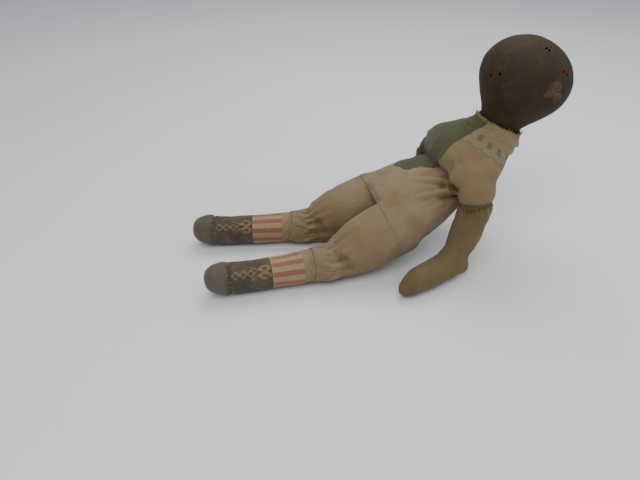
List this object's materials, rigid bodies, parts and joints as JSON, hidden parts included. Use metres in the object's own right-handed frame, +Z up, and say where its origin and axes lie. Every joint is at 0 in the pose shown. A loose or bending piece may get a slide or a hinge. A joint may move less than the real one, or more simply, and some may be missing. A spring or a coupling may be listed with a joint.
{
  "type": "stuffed cloth doll with a hard hollow head",
  "caption": "Old stuffed printed-cloth doll with a hard bald head on a cloth neck, stitched hips, knees, shoulders and elbows that bend, lying propped on its elbows.",
  "frame": {"origin": "on the surface that the doll lies on, under the middle of its box", "axes": "+X from the feet to the head, +Y to the doll's right side, +Z up; the doll lies on its back propped on its elbows"},
  "size_m": [0.5274, 0.2712, 0.3061],
  "materials": {
    "body_cloth": "matt, soiled and stained printed cotton",
    "arm_cloth": "matt, browned cotton",
    "stocking_cloth": "matt cotton printed with a striped stocking and a dark boot",
    "boot_cloth": "matt dark printed cotton",
    "straw_stuffing": "packed chopped straw and cotton waste",
    "head_shell": "satin, worn and hand-polished",
    "rag_plug": "matt rag",
    "thread": "matt cotton thread"
  },
  "bodies": {
    "torso": {"torso_front_cover": "body_cloth", "torso_back_cover": "body_cloth", "torso_stuffing": "straw_stuffing", "torso_side_stitches_left": "thread", "torso_side_stitches_right": "thread"},
    "neck": {"neck_cuff": "body_cloth", "neck_binding": "thread"},
    "head": {"head_shell": "head_shell", "neck_plug": "rag_plug"},
    "thigh_left": {"thigh_left_front_cover": "body_cloth", "thigh_left_back_cover": "body_cloth", "thigh_left_stuffing": "straw_stuffing"},
    "lower_leg_left": {"lower_leg_left_front_cover": "stocking_cloth", "lower_leg_left_back_cover": "stocking_cloth", "lower_leg_left_stuffing": "straw_stuffing", "boot_toe_left": "boot_cloth", "knee_hem_left": "body_cloth", "boot_stitches_left": "thread"},
    "upper_arm_left": {"upper_arm_left_front_cover": "arm_cloth", "upper_arm_left_back_cover": "arm_cloth", "upper_arm_left_stuffing": "straw_stuffing", "shoulder_stitches_left": "thread"},
    "forearm_left": {"forearm_left_front_cover": "arm_cloth", "forearm_left_back_cover": "arm_cloth", "forearm_left_stuffing": "straw_stuffing"},
    "thigh_right": {"thigh_right_front_cover": "body_cloth", "thigh_right_back_cover": "body_cloth", "thigh_right_stuffing": "straw_stuffing"},
    "lower_leg_right": {"lower_leg_right_front_cover": "stocking_cloth", "lower_leg_right_back_cover": "stocking_cloth", "lower_leg_right_stuffing": "straw_stuffing", "boot_toe_right": "boot_cloth", "knee_hem_right": "body_cloth", "boot_stitches_right": "thread"},
    "upper_arm_right": {"upper_arm_right_front_cover": "arm_cloth", "upper_arm_right_back_cover": "arm_cloth", "upper_arm_right_stuffing": "straw_stuffing", "shoulder_stitches_right": "thread"},
    "forearm_right": {"forearm_right_front_cover": "arm_cloth", "forearm_right_back_cover": "arm_cloth", "forearm_right_stuffing": "straw_stuffing"}
  },
  "joints": [
    {"name": "neck_bend", "type": "hinge", "parent": "torso", "child": "neck", "pos_m": [0.17174, -0.004, 0.178], "axis": [0, 1, 0], "range_deg": [-12, 12]},
    {"name": "head_turn", "type": "hinge", "parent": "neck", "child": "head", "pos_m": [0.17174, -0.004, 0.178], "axis": [0.3907, 0, 0.9205], "range_deg": [-80, 80]},
    {"name": "hip_left", "type": "hinge", "parent": "torso", "child": "thigh_left", "pos_m": [0.00323, -0.04076, 0.054], "axis": [-0.1045, 0.9945, 0], "range_deg": [-10, 44]},
    {"name": "knee_left", "type": "hinge", "parent": "thigh_left", "child": "lower_leg_left", "pos_m": [-0.07752, -0.055, 0.027], "axis": [0.0087, -1, 0], "range_deg": [-15, 50]},
    {"name": "shoulder_left", "type": "hinge", "parent": "torso", "child": "upper_arm_left", "pos_m": [0.11974, -0.078, 0.098], "axis": [-0.3665, 0.9304, 0], "range_deg": [-5, 80]},
    {"name": "elbow_left", "type": "hinge", "parent": "upper_arm_left", "child": "forearm_left", "pos_m": [0.09798, -0.08657, 0.0215], "axis": [-0.3665, 0.9304, 0], "range_deg": [-80, 20]},
    {"name": "hip_right", "type": "hinge", "parent": "torso", "child": "thigh_right", "pos_m": [-0.00576, 0.04476, 0.054], "axis": [-0.1045, 0.9945, 0], "range_deg": [-10, 44]},
    {"name": "knee_right", "type": "hinge", "parent": "thigh_right", "child": "lower_leg_right", "pos_m": [-0.08774, 0.04333, 0.027], "axis": [-0.1616, -0.9869, 0], "range_deg": [-15, 50]},
    {"name": "shoulder_right", "type": "hinge", "parent": "torso", "child": "upper_arm_right", "pos_m": [0.11974, 0.078, 0.098], "axis": [0.3665, 0.9304, 0], "range_deg": [-5, 80]},
    {"name": "elbow_right", "type": "hinge", "parent": "upper_arm_right", "child": "forearm_right", "pos_m": [0.09798, 0.08657, 0.0215], "axis": [0.3665, 0.9304, 0], "range_deg": [-80, 20]}
  ]
}
